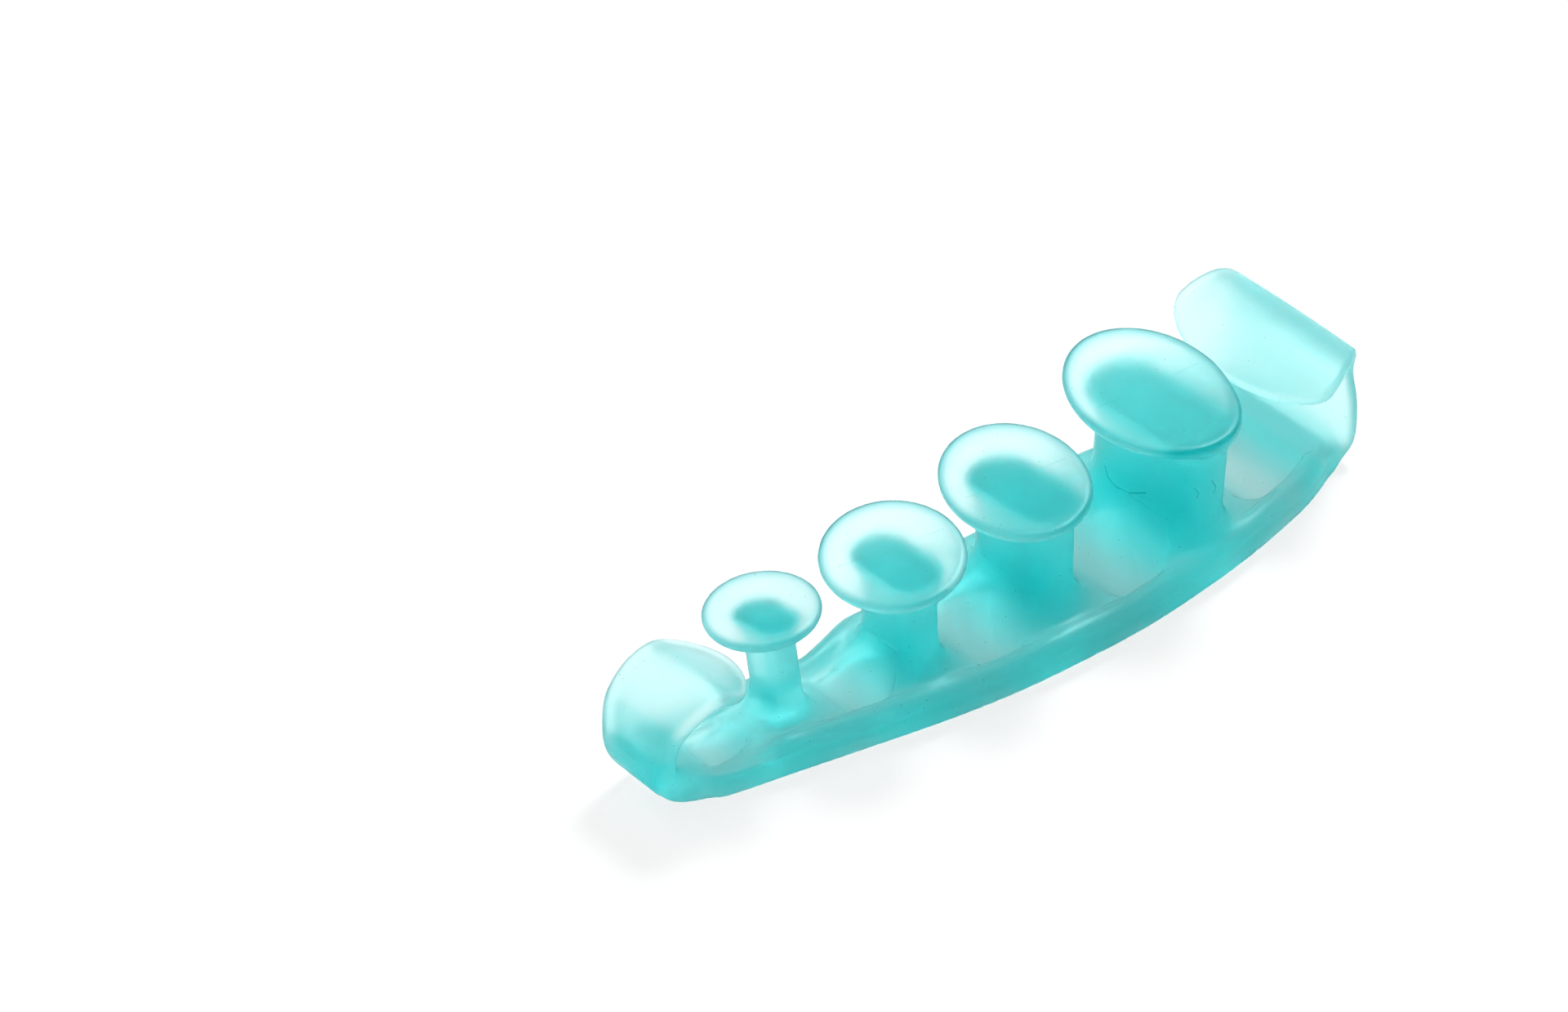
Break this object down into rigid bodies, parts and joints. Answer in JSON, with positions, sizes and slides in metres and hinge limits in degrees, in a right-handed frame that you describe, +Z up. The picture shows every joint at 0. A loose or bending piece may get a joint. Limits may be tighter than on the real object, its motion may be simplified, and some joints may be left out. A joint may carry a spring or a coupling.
{
  "type": "toe separator",
  "caption": "One-piece soft gel toe separator: low curved bar with broad-headed posts between the toes and a curled tongue at each end.",
  "frame": {"origin": "middle of the flat base, in plan the middle of the whole part", "axes": "+X along the bar towards the big toe, +Y across it towards the wavy edge, +Z up from the base"},
  "size_m": [0.116, 0.0315, 0.0239],
  "materials": {
    "gel": "soft translucent turquoise gel, satin moulded skin"
  },
  "bodies": {
    "root": {"toe_separator": "gel"}
  },
  "joints": []
}
